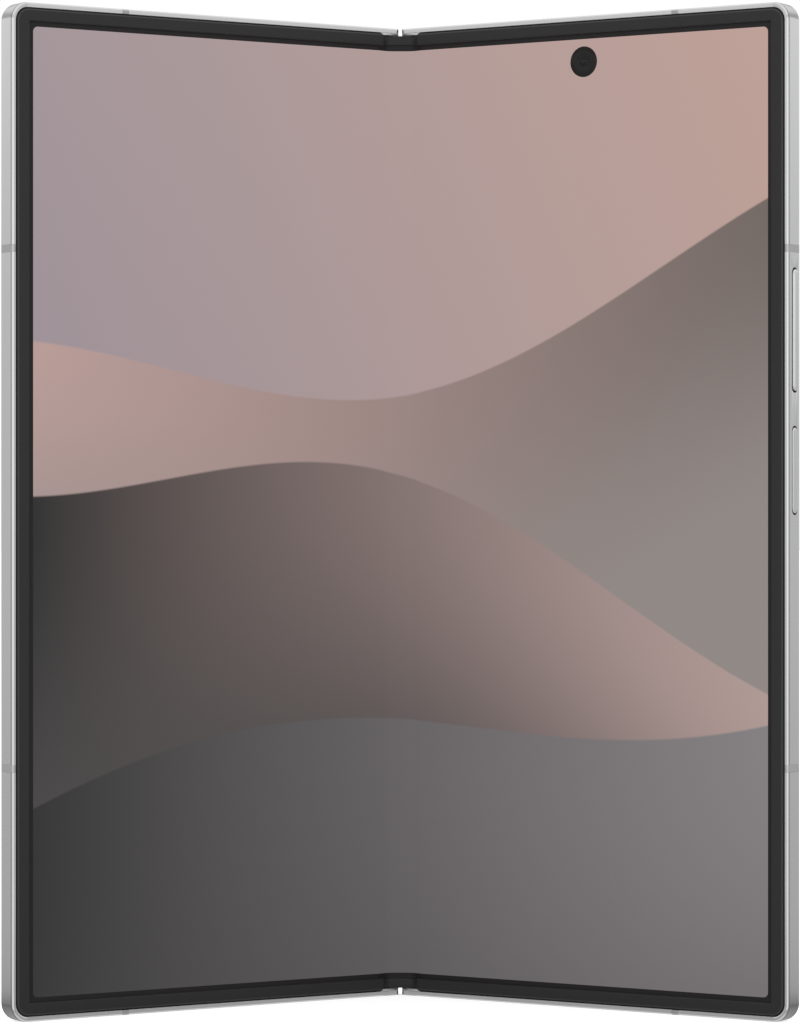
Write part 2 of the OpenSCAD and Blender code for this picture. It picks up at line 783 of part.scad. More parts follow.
module right_battery() {
    color("#2d2f33") right_place() layer(plate_back, stack_t - 0.35)
        pad([arm_end + 1, inner_s - 3.2], battery_z, 1.5);
}

module charging_coil() {
    centre = [(arm_end + inner_s) / 2 - 1, (battery_z[0] + battery_z[1]) / 2];
    color("#b5762c") right_place() layer(glass_v - 0.35, 0.3) difference() {
        disc(centre[0], centre[1], 22);
        disc(centre[0], centre[1], 12);
    }
}

module charging_port() {
    color("#9a9da1") right_place() {
        difference() {
            column(0.15, port_depth + 0.4) port_outline(port_wall);
            column(-1, port_depth + 1.15) port_outline(0);
        }
        column(1, port_depth) span([port_s - 3.3, port_s + 3.3], [port_v - 0.35, port_v + 0.35]);
    }
}

module loudspeaker() {
    color("#1b1c1f") right_place() layer(plate_back, stack_t - 0.2) 
        pad(speaker_s, [inner_z + 0.1, speaker_top], 1);
}

module right_hinge_arms() color("#a9acb0") right_place() hinge_arms(1);
module right_slot_plate() color("#8f9296") right_place() slot_plate();
module right_arm_screws() color("#c6c8cb") right_place() arm_screws();

// A key with a flange behind the rail, set back by the room that it needs to rock
module key(shape, proud, set_back) {
    back = inner_s - set_back - key_flange_t;
    right_place() {
        across(back, half_w - back + proud) key_outline(shape, 0);
        across(back, key_flange_t) pad([plate_back + 0.06, glass_v - 0.06],
            [shape[1] - shape[0] / 2 - key_flange, shape[1] + shape[0] / 2 + key_flange], 0.9);
    }
}

rock_room = (volume_key[0] / 2 + key_flange) * sin(rock_angle) + fit;

module power_key() color("#7d7f83") key(power_key, key_proud[0], fit);
module volume_key() color("#b2b4b7") key(volume_key, key_proud[1], rock_room);

// Small board behind the keys with a dome under each pressing place
module key_switches() {
    low = inner_s - 1.4;
    press = volume_key[0] / 3;
    power_top = inner_s - key_flange_t - key_travel - 2 * fit;
    volume_top = inner_s - rock_room - key_flange_t - press * sin(rock_angle) - fit;
    color("#caa75a") right_place() {
        box([low - 0.4, low], [plate_back, glass_v - 0.3],
            [power_key[1] - power_key[0] / 2, volume_key[1] + volume_key[0] / 2]);
        key_dome(low, power_top, power_key[1]);
        for (z = [-press, press]) key_dome(low, volume_top, volume_key[1] + z);
    }
}

module key_dome(low, top, z) {
    translate([low, key_v, z]) rotate([0, 90, 0]) cylinder(top - low, 0.8, 0.5, $fn = smooth);
}

// ---------------------------------------------------------------- left half

module left_frame() {
    color("#9fa1a4") left_place() difference() {
        half_frame(-1);
        column(-1, rail_t + 2) tray_outline(key_gap);
        for (i = [-1:1]) column(body_h - rail_t - 1, rail_t + 2)
            disc((earpiece_s[0] + earpiece_s[1]) / 2 + 2.4 * i, port_v, 0.5);
        column(-1, rail_t + 2) disc(tray_s + tray_front[0] / 2 + 2, tray_v, 0.35);
    }
}

module tray_outline(grow) {
    pad([tray_s - tray_front[0] / 2 - grow, tray_s + tray_front[0] / 2 + grow],
        [tray_v - tray_front[1] / 2 - grow, tray_v + tray_front[1] / 2 + grow], tray_front[1] / 2 + grow);
}

module left_antenna_bands() color("#8d8f92") left_place() antenna_bands();
module left_bezel() color("#1c1c1e") left_place() bezel();
module left_display() color("#8a7f80") left_place() display_panel();

module cover_glass() color("#17181b") left_place() layer(glass_v, glass_t) back_glass();

cover_v = glass_v - cover_panel_t;

module cover_display() {
    color("#26282c") left_place() difference() {
        layer(cover_v, cover_panel_t) pad([wall_s + shelf_w + 0.2, inner_s - 0.2],
            [inner_z + 0.2, body_h - inner_z - 0.2], 1);
        layer(-1, far) disc(cover_camera_s, cover_camera_z, 2.2);
    }
}

module cover_camera() {
    color("#15161a") left_place() translate([cover_camera_s, 0, cover_camera_z]) {
        translate([-3, plate_back, -3]) cube([6, cover_v - plate_back - 0.1, 6]);
        rotate([-90, 0, 0]) translate([0, 0, cover_v - 0.1]) cylinder(cover_panel_t + 0.1, 1.8, 1.8, $fn = smooth);
    }
}

module left_battery() {
    color("#2d2f33") left_place() layer(plate_back, cover_v - plate_back - 0.15)
        pad([arm_end + 1, board_edge], [22, left_board_z - 2 * battery_gap], 1.5);
}

module left_board() {
    color("#1f5136") left_place() difference() {
        box([board_s, board_edge], [plate_back, plate_back + board_t], [left_board_z, board_top - 0.5]);
        box([cover_camera_s - 4.2, cover_camera_s + 4.2], [0, far], [cover_camera_z - 4, far]);
        box([earpiece_s[0] - 0.5, earpiece_s[1] + 0.5], [0, far], [earpiece_z - 0.5, far]);
    }
}

module earpiece() {
    color("#1b1c1f") left_place() layer(plate_back, cover_v - plate_back - 0.15)
        pad(earpiece_s, [earpiece_z, body_h - inner_z - 0.1], 0.8);
}

module vibration_motor() {
    color("#a9acb0") left_place() layer(plate_back, cover_v - plate_back - 0.15)
        pad([board_edge - 17.6, board_edge - 3.6], [4, 12], 1.2);
}

module left_hinge_arms() color("#a9acb0") left_place() hinge_arms(-1);
module left_slot_plate() color("#8f9296") left_place() slot_plate();
module left_arm_screws() color("#c6c8cb") left_place() arm_screws();

// The tray with two round-cornered card wells
module card_tray() {
    color("#a4a6a9") left_place() {
        column(0.12, tray_front[2]) tray_outline(0);
        difference() {
            box([tray_s - 6, tray_s + 6], [tray_v - 0.45, tray_v + 0.45], [tray_front[2], 15.5]);
            layer(tray_v - 0.25, far) pad([tray_s - 5.2, tray_s + 5.2], [tray_front[2] + 1.4, 14.7], 0.6);
        }
    }
}

// ---------------------------------------------------------------- nodes

spine_cover();
hinge_base_lower();
hinge_base_upper();
timing_base();
hinge_base_screws();
right_idler_gear();
left_idler_gear();
right_timing_arm();
left_timing_arm();
disc_springs();
hinge_flex_cables();
display_fold();
hinge_cap_lower();
hinge_cap_upper();
right_frame();
right_antenna_bands();
right_bezel();
right_display();
rear_glass();
camera_island();
lens_rings();
lens_glasses();
flash_lamp();
rear_cameras();
front_camera();
main_board();
board_shields();
right_battery();
charging_coil();
charging_port();
loudspeaker();
right_hinge_arms();
right_slot_plate();
right_arm_screws();
power_key();
volume_key();
key_switches();
left_frame();
left_antenna_bands();
left_bezel();
left_display();
cover_glass();
cover_display();
cover_camera();
left_battery();
left_board();
earpiece();
vibration_motor();
left_hinge_arms();
left_slot_plate();
left_arm_screws();
card_tray();
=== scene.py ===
import bpy
import bmesh
import json
from math import cos, pi, radians, sin, sqrt
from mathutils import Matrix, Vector


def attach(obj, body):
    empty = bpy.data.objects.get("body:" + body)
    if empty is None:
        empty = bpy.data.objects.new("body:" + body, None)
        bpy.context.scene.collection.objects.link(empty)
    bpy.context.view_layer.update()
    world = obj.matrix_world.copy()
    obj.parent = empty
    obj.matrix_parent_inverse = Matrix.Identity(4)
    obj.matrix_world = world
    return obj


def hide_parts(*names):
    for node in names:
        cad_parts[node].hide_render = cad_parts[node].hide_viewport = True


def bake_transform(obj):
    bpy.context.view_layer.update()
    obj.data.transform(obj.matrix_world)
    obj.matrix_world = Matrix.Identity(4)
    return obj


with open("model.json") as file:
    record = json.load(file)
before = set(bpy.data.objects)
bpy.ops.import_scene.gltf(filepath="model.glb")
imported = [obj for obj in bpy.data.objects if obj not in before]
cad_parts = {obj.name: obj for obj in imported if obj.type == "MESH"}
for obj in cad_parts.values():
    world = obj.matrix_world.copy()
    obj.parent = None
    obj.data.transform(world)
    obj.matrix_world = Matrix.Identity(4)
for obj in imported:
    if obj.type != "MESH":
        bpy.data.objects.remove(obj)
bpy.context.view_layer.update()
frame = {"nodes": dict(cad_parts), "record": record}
mm = 0.001

# Shared sizes of the phone in millimetres. s runs from the fold to the side, v from the
# screen to the back and z up, in a half that lies flat. tilt is the turn of each half in degrees
phone = {
    "axisS": 1.325, "axisV": 1.075, "tilt": 32.5, "shift": 16.5498,
    "halfWidth": 71.6, "height": 158.4, "foldEnd": 4.55,
}


def smooth(t):
    t = min(1.0, max(0.0, t))
    return t * t * (3 - 2 * t)


def place(s, v, z, side=1, bend=1.0):
    """Point of a half in the row frame, in metres. side is 1 for the right half and -1 for the left."""
    angle = radians(phone["tilt"]) * bend
    ds, dv = s - phone["axisS"], v - phone["axisV"]
    x = phone["axisS"] + ds * cos(angle) + dv * sin(angle)
    y = phone["axisV"] - ds * sin(angle) + dv * cos(angle) + phone["shift"]
    return Vector((side * x, y, z)) * mm


def placeSheet(s, v, z, side=1):
    """The same for a sheet that bends over the fold."""
    return place(s, v, z, side, smooth(s / phone["foldEnd"]))


# Camera
camera = {"distance": 0.67475, "height": 0.0792, "aside": -0.00004, "lens": 148.45}
lensData = bpy.data.cameras.new("photoCamera")
lensData.lens = camera["lens"]
lensData.sensor_width = 36
lensData.clip_start = 0.01
cameraObject = bpy.data.objects.new("photoCamera", lensData)
cameraObject.location = (camera["aside"], -camera["distance"], camera["height"])
cameraObject.rotation_euler = (pi / 2, 0, 0)
bpy.context.scene.collection.objects.link(cameraObject)
bpy.context.scene.camera = cameraObject
bpy.context.scene.view_settings.view_transform = "Standard"
print("camera ready")


def nodeTree(owner):
    owner.use_nodes = True
    owner.node_tree.nodes.clear()
    return owner.node_tree


def addNode(tree, kind, inputs=None, **settings):
    node = tree.nodes.new(kind)
    for name, value in settings.items():
        setattr(node, name, value)
    for key, value in (inputs or {}).items():
        if isinstance(value, bpy.types.NodeSocket):
            tree.links.new(value, node.inputs[key])
        else:
            node.inputs[key].default_value = value
    return node


def mathNode(tree, operation, *values):
    node = addNode(tree, "ShaderNodeMath", operation=operation)
    for socket, value in zip(node.inputs, values):
        if isinstance(value, bpy.types.NodeSocket):
            tree.links.new(value, socket)
        else:
            socket.default_value = value
    return node.outputs[0]


def mixColor(tree, factor, first, second):
    node = addNode(tree, "ShaderNodeMix", data_type="RGBA")
    for index, value in ((0, factor), (6, first), (7, second)):
        if isinstance(value, bpy.types.NodeSocket):
            tree.links.new(value, node.inputs[index])
        else:
            node.inputs[index].default_value = value
    return node.outputs[2]


def tone(red, green=None, blue=None):
    """Linear colour of a screen colour from 0 to 255."""
    values = (red, red if green is None else green, red if blue is None else blue)
    linear = [c / 255 / 12.92 if c <= 10 else ((c / 255 + 0.055) / 1.055) ** 2.4 for c in values]
    return (*linear, 1.0)


def seenDirectly(tree):
    """1 for the rays that should show the plain background."""
    path = addNode(tree, "ShaderNodeLightPath")
    first = mathNode(tree, "MAXIMUM", path.outputs["Is Camera Ray"], path.outputs["Is Glossy Ray"])
    return mathNode(tree, "MAXIMUM", first, path.outputs["Is Transmission Ray"])


# Studio. The two sky and floor scales say how light the gloss of the metal sees them
studio = {
    "worldLevel": 0.72, "floorColor": 0.82, "floorLift": 0.62, "floorSize": 8.0,
    "skyScale": [(0.0, 0.70), (0.05, 0.72), (0.085, 0.78), (0.11, 1.05), (0.17, 1.05),
                 (0.25, 0.5), (0.35, 0.5), (0.46, 0.93)],
    "floorScale": [(0.0, 0.5), (0.05, 0.5), (0.1, 0.57), (0.3, 0.6), (1.0, 0.68)], "floorReach": 2.0,
    "footShade": {"place": (0.0758, -0.0106, 0), "level": 0.43, "near": 0.003, "far": 0.028},
    "frontLeft": {"place": (-0.9, -1.3, 0.7), "size": 1.1, "power": 3.4},
    "frontRight": {"place": (0.9, -1.3, 0.7), "size": 1.1, "power": 3.4},
    "sideLeft": {"place": (-1.1, 0.5, 0.62), "size": 0.6, "power": 1.1},
    "sideRight": {"place": (1.1, 0.5, 0.62), "size": 0.6, "power": 1.1},
    "overhead": {"place": (0, 0.3, 1.2), "size": 1.1, "power": 4.5},
    "aim": (0, 0, 0.08),
    "cards": [
        {"tone": 0.84, "corners": [(0.0585, -0.0235, 0.0003), (0.0665, -0.0235, 0.0003),
                                   (0.602, -0.669, 0.0006), (0.278, -0.856, 0.0006)]},
        {"tone": 1.05, "corners": [(0.278, -0.856, 0.001), (0.602, -0.669, 0.001),
                                   (0.602, -0.669, 0.4), (0.278, -0.856, 0.4)]},
        {"tone": 0.72, "corners": [(0.00256, 0.01573, 0.00001), (0.06076, -0.02227, 0.00001),
                                   (0.06147, -0.02118, 0.00001), (0.00327, 0.01682, 0.00001)]},
    ],
}


def greyScale(tree, value, steps):
    """A smooth scale of greys. steps are (position, level)."""
    scale = addNode(tree, "ShaderNodeValToRGB", {"Fac": value})
    marks = scale.color_ramp.elements
    while len(marks) < len(steps):
        marks.new(0.5)
    for mark, (position, level) in zip(marks, steps):
        mark.position = position
        mark.color = (level, level, level, 1)
    return scale.outputs["Color"]


world = bpy.data.worlds.new("studioWorld")
bpy.context.scene.world = world
tree = nodeTree(world)
direction = addNode(tree, "ShaderNodeTexCoord").outputs["Generated"]
heading = addNode(tree, "ShaderNodeSeparateXYZ", {0: direction})
gloss = addNode(tree, "ShaderNodeLightPath").outputs["Is Glossy Ray"]
level = addNode(tree, "ShaderNodeMapRange", {
    "Value": seenDirectly(tree), "To Min": studio["worldLevel"], "To Max": 1.0})
sky = mixColor(tree, gloss, (1, 1, 1, 1), greyScale(tree, heading.outputs[2], studio["skyScale"]))
background = addNode(tree, "ShaderNodeBackground", {"Color": sky, "Strength": level.outputs[0]})
addNode(tree, "ShaderNodeOutputWorld", {"Surface": background.outputs[0]})

floorMesh = bpy.data.meshes.new("studioFloor")
reach = studio["floorSize"]
floorMesh.from_pydata([(-reach, -reach, 0), (reach, -reach, 0), (reach, reach, 0), (-reach, reach, 0)],
                      [], [(0, 1, 2, 3)])
floorObject = bpy.data.objects.new("studioFloor", floorMesh)
bpy.context.scene.collection.objects.link(floorObject)
floorMaterial = bpy.data.materials.new("studioFloor")
tree = nodeTree(floorMaterial)
paint = addNode(tree, "ShaderNodeBsdfDiffuse", {"Color": (studio["floorColor"],) * 3 + (1,)})
lift = mathNode(tree, "MULTIPLY", seenDirectly(tree), studio["floorLift"])
glow = addNode(tree, "ShaderNodeEmission", {"Strength": lift})
both = addNode(tree, "ShaderNodeAddShader", {0: paint.outputs[0], 1: glow.outputs[0]})

# What gloss sees of the floor: a painted scale of greys with distance, with painted shade beside the outer
# lower corners
spot = addNode(tree, "ShaderNodeTexCoord").outputs["Object"]
away = addNode(tree, "ShaderNodeVectorMath", {0: spot}, operation="LENGTH").outputs["Value"]
reached = mathNode(tree, "DIVIDE", away, studio["floorReach"])
plain = addNode(tree, "ShaderNodeSeparateXYZ", {0: spot})
mirrored = mathNode(tree, "ABSOLUTE", plain.outputs[0])
folded = addNode(tree, "ShaderNodeCombineXYZ", {0: mirrored, 1: plain.outputs[1]}).outputs[0]
shade = studio["footShade"]
gap = addNode(tree, "ShaderNodeVectorMath", {0: folded, 1: shade["place"]}, operation="DISTANCE")
clear = addNode(tree, "ShaderNodeMapRange", {
    "Value": gap.outputs["Value"], "From Min": shade["near"], "From Max": shade["far"],
    "To Min": shade["level"], "To Max": 1.0}, interpolation_type="SMOOTHSTEP")
seen = addNode(tree, "ShaderNodeEmission", {
    "Color": greyScale(tree, reached, studio["floorScale"]), "Strength": clear.outputs[0]})
gloss = addNode(tree, "ShaderNodeLightPath").outputs["Is Glossy Ray"]
shown = addNode(tree, "ShaderNodeMixShader", {0: gloss, 1: both.outputs[0], 2: seen.outputs[0]})
addNode(tree, "ShaderNodeOutputMaterial", {"Surface": shown.outputs[0]})
floorMesh.materials.append(floorMaterial)

for name in ("frontLeft", "frontRight", "sideLeft", "sideRight", "overhead"):
    lamp = bpy.data.lights.new(name + "Lamp", "AREA")
    lamp.size = studio[name]["size"]
    lamp.energy = studio[name]["power"]
    lampObject = bpy.data.objects.new(name + "Lamp", lamp)
    lampObject.location = studio[name]["place"]
    lampObject.visible_glossy = False
    aim = Vector(studio["aim"]) - lampObject.location
    lampObject.rotation_euler = aim.to_track_quat("-Z", "Y").to_euler()
    bpy.context.scene.collection.objects.link(lampObject)

# Pale cards on both sides, which only gloss sees: they light the chamfers of the frames
for card in studio["cards"]:
    cardMaterial = bpy.data.materials.new("studioCard")
    tree = nodeTree(cardMaterial)
    paint = addNode(tree, "ShaderNodeEmission", {"Color": (card["tone"],) * 3 + (1,)})
    addNode(tree, "ShaderNodeOutputMaterial", {"Surface": paint.outputs[0]})
    for side in (-1, 1):
        cardMesh = bpy.data.meshes.new("studioCard")
        cardMesh.from_pydata([(side * x, y, z) for x, y, z in card["corners"]], [], [(0, 1, 2, 3)])
        cardMesh.materials.append(cardMaterial)
        cardObject = bpy.data.objects.new("studioCard", cardMesh)
        bpy.context.scene.collection.objects.link(cardObject)
        for kind in ("camera", "diffuse", "shadow", "transmission"):
            setattr(cardObject, "visible_" + kind, False)
print("studio ready")


def newGroup(name, inputs, outputs):
    group = bpy.data.node_groups.new(name, "ShaderNodeTree")
    for label, kind, value in inputs:
        socket = group.interface.new_socket(label, in_out="INPUT", socket_type=kind)
        if value is not None:
            socket.default_value = value
    for label, kind in outputs:
        group.interface.new_socket(label, in_out="OUTPUT", socket_type=kind)
    return group, group.nodes.new("NodeGroupInput"), group.nodes.new("NodeGroupOutput")


# Fine even grain that varies the roughness
grainGroup, source, sink = newGroup(
    "fineGrain",
    [("Size", "NodeSocketFloat", 0.0002), ("Roughness", "NodeSocketFloat", 0.4),
     ("Spread", "NodeSocketFloat", 0.06)],
    [("Roughness", "NodeSocketFloat")])
coords = addNode(grainGroup, "ShaderNodeTexCoord")
scale = mathNode(grainGroup, "DIVIDE", 1.0, source.outputs["Size"])
noise = addNode(grainGroup, "ShaderNodeTexNoise", {
    "Vector": coords.outputs["Object"], "Scale": scale, "Detail": 2.0})
centred = mathNode(grainGroup, "SUBTRACT", noise.outputs[0], 0.5)
swing = mathNode(grainGroup, "MULTIPLY", centred, source.outputs["Spread"])
total = mathNode(grainGroup, "ADD", source.outputs["Roughness"], swing)
grainGroup.links.new(total, sink.inputs["Roughness"])


def finish(name, color, roughness, metallic=0.0, grain=None, coat=0.0, specular=0.5):
    """A plain Principled material. grain is (size in metres, spread of the roughness)."""
    material = bpy.data.materials.new(name)
    tree = nodeTree(material)
    shader = addNode(tree, "ShaderNodeBsdfPrincipled", {
        "Base Color": color, "Roughness": roughness, "Metallic": metallic, "Coat Weight": coat,
        "Specular IOR Level": specular})
    if grain:
        fine = addNode(tree, "ShaderNodeGroup", {
            "Size": grain[0], "Roughness": roughness, "Spread": grain[1]}, node_tree=grainGroup)
        tree.links.new(fine.outputs["Roughness"], shader.inputs["Roughness"])
    addNode(tree, "ShaderNodeOutputMaterial", {"Surface": shader.outputs[0]})
    return material


finishes = {
    "frame_metal": finish("frameMetal", tone(206, 206, 207), 0.2, 1.0, (0.00012, 0.02)),
    "band_plastic": finish("bandPlastic", tone(158, 158, 158), 0.45, 0.0, (0.0002, 0.05)),
    "bezel_plastic": finish("bezelPlastic", tone(40), 0.36, 0.0, (0.0001, 0.08), specular=0.26),
    "display_film": finish("displayFilm", tone(20), 0.12),
    "back_glass": finish("backGlass", tone(196, 197, 200), 0.36, 0.5, (0.00006, 0.05), coat=0.3),
    "cover_glass": finish("coverGlass", tone(9, 9, 10), 0.05),
    "lens_glass": finish("lensGlass", tone(8, 8, 10), 0.03),
    "ring_metal": finish("ringMetal", tone(200, 201, 203), 0.22, 1.0),
    "flash_diffuser": finish("flashDiffuser", tone(240, 236, 215), 0.35),
    "hinge_steel": finish("hingeSteel", tone(172, 173, 176), 0.3, 1.0, (0.0001, 0.08)),
    "screw_steel": finish("screwSteel", tone(190, 191, 193), 0.25, 1.0),
    "gear_brass": finish("gearBrass", tone(214, 184, 118), 0.28, 1.0),
    "key_metal": finish("keyMetal", tone(206, 206, 207), 0.2, 1.0, (0.00012, 0.02)),
    "camera_body": finish("cameraBody", tone(38, 38, 40), 0.45),
    "circuit_board": finish("circuitBoard", tone(38, 92, 62), 0.35),
    "shield_tin": finish("shieldTin", tone(186, 187, 190), 0.3, 1.0),
    "battery_foil": finish("batteryFoil", tone(70, 72, 76), 0.4, 0.8),
    "copper": finish("bareCopper", tone(196, 118, 72), 0.3, 1.0),
    "sound_plastic": finish("soundPlastic", tone(36, 36, 38), 0.5),
    "motor_steel": finish("motorSteel", tone(180, 181, 184), 0.3, 1.0),
    "cover_panel": finish("coverPanel", tone(10, 10, 12), 0.1),
}
polishedMaterial = finish("polishedChamfer", tone(227, 227, 228), 0.22, 1.0)
# Darker shoulder between chamfer and side: painted dark reflection line
shoulderShadeMaterial = finish("railShoulderShade", tone(174, 174, 175), 0.24, 1.0)
# Darker rail ends at the fold: painted shade
railEndShadeMaterial = finish("railEnd", tone(128, 128, 129), 0.4, 1.0)
# Lighter chamfer faces on the plastic antenna bands: painted highlight
bandEdgeHighlight = finish("bandEdge", tone(196), 0.4)
slotOf = {part["node"]: part["material_slot"] for part in frame["record"]["subparts"]}
for node, part in frame["nodes"].items():
    part.data.materials.clear()
    part.data.materials.append(finishes[slotOf[node]])


# Fine rounded edges on CAD parts that show, with even normals on their large faces. Widths in metres
edgeRound = {
    "weld": 1e-6, "segments": 2, "angle": 28, "frame": 0.00004,
    "widths": {"rear_glass": 0.00012, "spine_cover": 0.00006, "charging_port": 0.00004, "card_tray": 0.00004},
}


def roundEdges(part, width):
    weld = part.modifiers.new("weld", "WELD")
    weld.merge_threshold = edgeRound["weld"]
    rounding = part.modifiers.new("rounding", "BEVEL")
    rounding.width = width
    rounding.segments = edgeRound["segments"]
    rounding.angle_limit = radians(edgeRound["angle"])
    rounding.face_strength_mode = "FSTR_ALL"
    evening = part.modifiers.new("evening", "WEIGHTED_NORMAL")
    evening.mode = "FACE_AREA"
    evening.weight = 100
    evening.use_face_influence = True


for node, width in edgeRound["widths"].items():
    roundEdges(frame["nodes"][node], width)

# Faces of the frames with a colour of their own: the bright cut chamfer between front and side (lighter on
# the antenna bands as a painted highlight), the shoulder behind it (darker as a painted dark reflection line)
# and the rail ends at the fold (darker as painted shade). Depths and railEnd are in millimetres; the others
# say how far a face looks to the front, or outwards along the half
chamfer = {
    "depth": (0.08, 0.32), "front": (0.45, 0.93), "shoulderDepth": (0.2, 0.8), "shoulder": (0.08, 0.3),
    "railEnd": 1.7, "endFacing": -0.35,
}


def within(value, limits):
    return limits[0] < value < limits[1]


def finishAndShadeFrame(node, side, bright, hasShoulder):
    part = frame["nodes"][node]
    roundEdges(part, edgeRound["frame"])
    data = part.data
    data.shade_smooth()
    for material in (bright, railEndShadeMaterial, shoulderShadeMaterial)[:3 if hasShoulder else 2]:
        data.materials.append(material)
    tilt = radians(phone["tilt"])
    along = Vector((side * cos(tilt), -sin(tilt), 0))
    front = Vector((-side * sin(tilt), -cos(tilt), 0))
    origin = place(0, 0, 0, side)
    for face in data.polygons:
        offset = (face.center - origin) / mm
        depth, facing = -offset.dot(front), face.normal.dot(front)
        if within(depth, chamfer["depth"]) and within(facing, chamfer["front"]):
            face.material_index = 1
        elif hasShoulder and within(depth, chamfer["shoulderDepth"]) and within(facing, chamfer["shoulder"]):
            face.material_index = 3
        if offset.dot(along) < chamfer["railEnd"] and face.normal.dot(along) < chamfer["endFacing"]:
            face.material_index = 2


for word, side in (("right", 1), ("left", -1)):
    finishAndShadeFrame(word + "_frame", side, polishedMaterial, True)
    finishAndShadeFrame(word + "_antenna_bands", side, bandEdgeHighlight, False)
print("finishes ready:", len(finishes))


def newPiece(name, mesh, slot, material=None, smoothAngle=35):
    """Adds a mesh in metres as a piece with the finish of a record slot."""
    data = bpy.data.meshes.new(name)
    mesh.to_mesh(data)
    mesh.free()
    piece = bpy.data.objects.new(name, data)
    bpy.context.scene.collection.objects.link(piece)
    for each in material if isinstance(material, (list, tuple)) else [material or finishes[slot]]:
        data.materials.append(each)
    data.shade_smooth()
    data.set_sharp_from_angle(angle=radians(smoothAngle))
    return piece


def roundedCorner(cx, cz, radius, start, end, steps):
    """Points of an arc about (cx, cz), angles in degrees."""
    return [(cx + radius * cos(radians(start + (end - start) * i / steps)),
             cz + radius * sin(radians(start + (end - start) * i / steps))) for i in range(steps + 1)]


def roundedOutline(low, high, radii, steps=10):
    """Closed outline of a rectangle, anticlockwise from its low corner. radii is for the four corners."""
    (x0, z0), (x1, z1) = low, high
    corners = ((x0, z0, 1, 1, 180), (x1, z0, -1, 1, 270), (x1, z1, -1, -1, 0), (x0, z1, 1, -1, 90))
    points = []
    for (x, z, dx, dz, start), radius in zip(corners, radii):
        if radius <= 0:
            points.append((x, z))
        else:
            points += roundedCorner(x + dx * radius, z + dz * radius, radius, start, start + 90, steps)
    return points


def edgeLoop(mesh, points):
    """Closed loop of edges through points (x, z) in the plane y = 0."""
    verts = [mesh.verts.new((x, 0, z)) for x, z in points]
    return [mesh.edges.new((verts[i], verts[(i + 1) % len(verts)])) for i in range(len(verts))]


# Screen picture: layered soft dunes under a pale sky
duneGroup, source, sink = newGroup(
    "duneLayer",
    [("Below", "NodeSocketColor", None), ("Crest Left", "NodeSocketColor", None),
     ("Crest Right", "NodeSocketColor", None), ("Foot", "NodeSocketColor", None),
     ("Height", "NodeSocketFloat", 0.5), ("Slope", "NodeSocketFloat", 0.0),
     ("Swell", "NodeSocketFloat", 0.1), ("Wave", "NodeSocketFloat", 3.0), ("Phase", "NodeSocketFloat", 0.0),
     ("Fade", "NodeSocketFloat", 0.4)],
    [("Color", "NodeSocketColor")])
tree = duneGroup
uv = addNode(tree, "ShaderNodeSeparateXYZ", {0: addNode(tree, "ShaderNodeTexCoord").outputs["UV"]})
across, up = uv.outputs[0], uv.outputs[1]
angle = mathNode(tree, "MULTIPLY_ADD", across, source.outputs["Wave"], source.outputs["Phase"])
swell = mathNode(tree, "MULTIPLY", mathNode(tree, "SINE", angle), source.outputs["Swell"])
slope = mathNode(tree, "MULTIPLY", mathNode(tree, "SUBTRACT", across, 0.5), source.outputs["Slope"])
ridge = mathNode(tree, "ADD", mathNode(tree, "ADD", swell, slope), source.outputs["Height"])
depth = mathNode(tree, "SUBTRACT", ridge, up)
fade = addNode(tree, "ShaderNodeMapRange", {
    "Value": depth, "From Min": 0.0, "From Max": source.outputs["Fade"]}, interpolation_type="SMOOTHSTEP")
crest = mixColor(tree, across, source.outputs["Crest Left"], source.outputs["Crest Right"])
dune = mixColor(tree, fade.outputs[0], crest, source.outputs["Foot"])
edgeSoftness = 0.0012
edge = addNode(tree, "ShaderNodeMapRange", {
    "Value": depth, "From Min": -edgeSoftness, "From Max": edgeSoftness})
tree.links.new(mixColor(tree, edge.outputs[0], source.outputs["Below"], dune), sink.inputs["Color"])

picture = {
    "skyTopLeft": tone(166, 152, 156), "skyTopRight": tone(192, 162, 153),
    "skyLowLeft": tone(148, 138, 150), "skyLowRight": tone(178, 158, 153),
    "dunes": [
        {"Crest Left": tone(186, 158, 154), "Crest Right": tone(116, 106, 102), "Foot": tone(146, 138, 135),
         "Height": 0.70, "Slope": 0.16, "Swell": 0.075, "Wave": 4.6, "Phase": 2.3, "Fade": 0.34},
        {"Crest Left": tone(50), "Crest Right": tone(178, 155, 151), "Foot": tone(78, 76, 76),
         "Height": 0.47, "Slope": -0.20, "Swell": 0.07, "Wave": 5.0, "Phase": 5.4, "Fade": 0.42},
        {"Crest Left": tone(54), "Crest Right": tone(134, 129, 131), "Foot": tone(70, 69, 70),
         "Height": 0.25, "Slope": 0.18, "Swell": 0.06, "Wave": 4.2, "Phase": 0.6, "Fade": 0.75},
    ],
    "level": 0.97, "gloss": 0.25, "specular": 0.04,
}
pictureMaterial = bpy.data.materials.new("screenPicture")
tree = nodeTree(pictureMaterial)
uv = addNode(tree, "ShaderNodeSeparateXYZ", {0: addNode(tree, "ShaderNodeTexCoord").outputs["UV"]})
high = mixColor(tree, uv.outputs[0], picture["skyTopLeft"], picture["skyTopRight"])
low = mixColor(tree, uv.outputs[0], picture["skyLowLeft"], picture["skyLowRight"])
layer = mixColor(tree, uv.outputs[1], low, high)
for values in picture["dunes"]:
    dune = addNode(tree, "ShaderNodeGroup", node_tree=duneGroup)
    tree.links.new(layer, dune.inputs["Below"])
    for label, value in values.items():
        dune.inputs[label].default_value = value
    layer = dune.outputs["Color"]
shader = addNode(tree, "ShaderNodeBsdfPrincipled", {
    "Base Color": tone(8), "Roughness": picture["gloss"], "Specular IOR Level": picture["specular"],
    "Emission Color": layer, "Emission Strength": picture["level"]})
addNode(tree, "ShaderNodeOutputMaterial", {"Surface": shader.outputs[0]})
borderMaterial = finish("screenBorder", tone(38, 36, 36), 0.4, specular=0.14)

